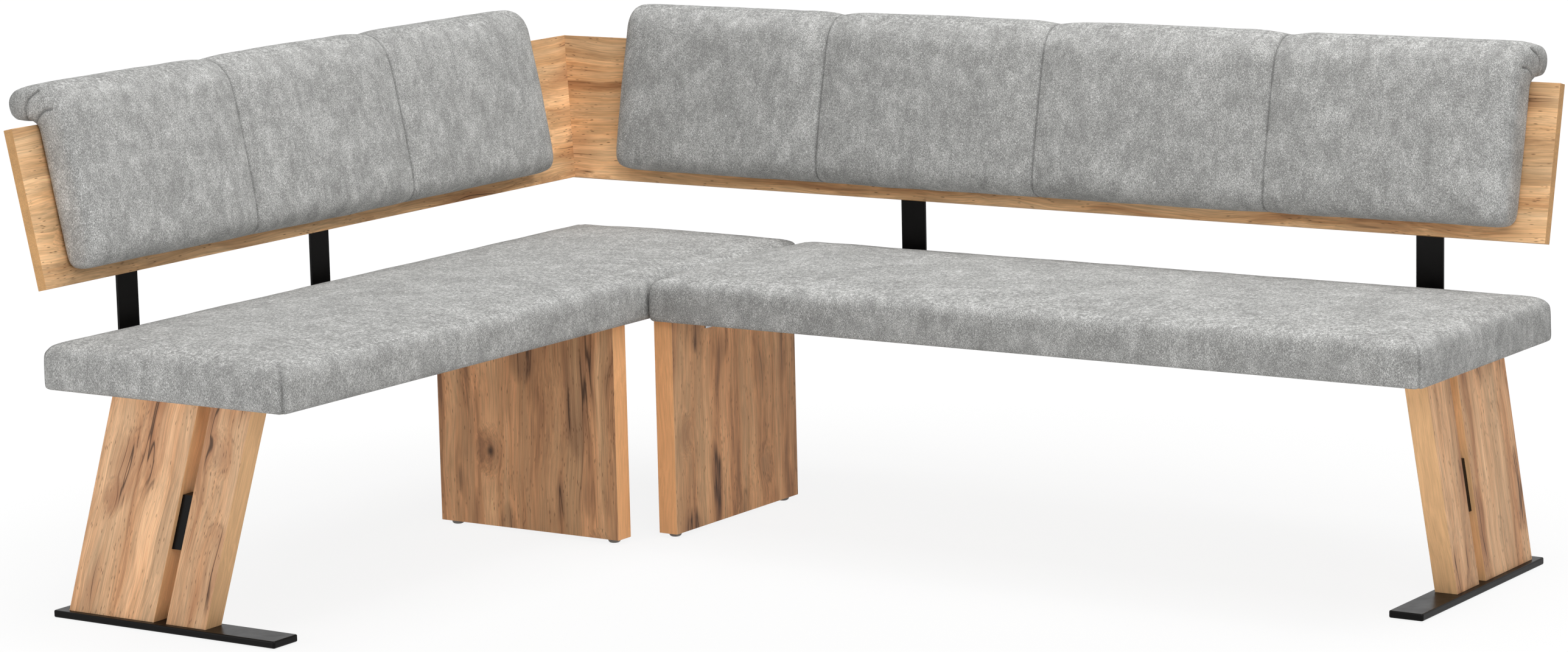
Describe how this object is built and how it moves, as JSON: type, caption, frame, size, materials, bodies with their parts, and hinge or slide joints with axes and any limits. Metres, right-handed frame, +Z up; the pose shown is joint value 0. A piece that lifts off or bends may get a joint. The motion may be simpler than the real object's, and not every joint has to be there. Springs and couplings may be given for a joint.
{
  "type": "corner bench",
  "caption": "L-shaped upholstered corner bench on wood-finish board legs with black steel runners and a leaning channelled back cushion that rolls over its back board.",
  "frame": {"origin": "on the floor, under the middle of the bench's outline seen from above", "axes": "+X along the long wing towards its free end, +Y towards the back of the long wing, +Z up"},
  "size_m": [2.1145, 1.6166, 0.871],
  "materials": {
    "grey_fabric": "mottled velour",
    "oak_board": "rustic oak decor",
    "plywood": "sanded",
    "black_steel": "satin black powder coat",
    "zinc_steel": "zinc plated",
    "grey_plastic": "moulded"
  },
  "bodies": {
    "root": {"left_seat_panel": "plywood", "left_seat_cushion": "grey_fabric", "left_inner_leg": "oak_board", "left_inner_leg_glides": "grey_plastic", "left_inner_leg_angles": "zinc_steel", "left_inner_leg_angle_screws": "zinc_steel", "left_end_leg_narrow_board": "oak_board", "left_end_leg_wide_board": "oak_board", "left_end_leg_spacer": "black_steel", "left_end_leg_spacer_dowels": "zinc_steel", "left_end_leg_runner": "black_steel", "left_end_leg_runner_screws": "zinc_steel", "left_end_leg_runner_pads": "grey_plastic", "left_end_leg_angles": "zinc_steel", "left_end_leg_angle_screws": "zinc_steel", "left_inner_back_bracket": "black_steel", "left_outer_back_bracket": "black_steel", "left_back_bracket_screws": "zinc_steel", "left_back_board": "oak_board", "left_back_cushion_core": "plywood", "left_back_cushion": "grey_fabric", "left_back_cushion_screws": "zinc_steel", "right_seat_panel": "plywood", "right_seat_cushion": "grey_fabric", "right_inner_leg": "oak_board", "right_inner_leg_glides": "grey_plastic", "right_inner_leg_angles": "zinc_steel", "right_inner_leg_angle_screws": "zinc_steel", "right_end_leg_narrow_board": "oak_board", "right_end_leg_wide_board": "oak_board", "right_end_leg_spacer": "black_steel", "right_end_leg_spacer_dowels": "zinc_steel", "right_end_leg_runner": "black_steel", "right_end_leg_runner_screws": "zinc_steel", "right_end_leg_runner_pads": "grey_plastic", "right_end_leg_angles": "zinc_steel", "right_end_leg_angle_screws": "zinc_steel", "right_inner_back_bracket": "black_steel", "right_outer_back_bracket": "black_steel", "right_back_bracket_screws": "zinc_steel", "right_back_board": "oak_board", "right_back_cushion_core": "plywood", "right_back_cushion": "grey_fabric", "right_back_cushion_screws": "zinc_steel", "seat_joining_angles": "zinc_steel", "seat_joining_plate": "zinc_steel", "seat_joining_screws": "zinc_steel", "back_corner_plate": "black_steel", "back_corner_screws": "zinc_steel"}
  },
  "joints": []
}
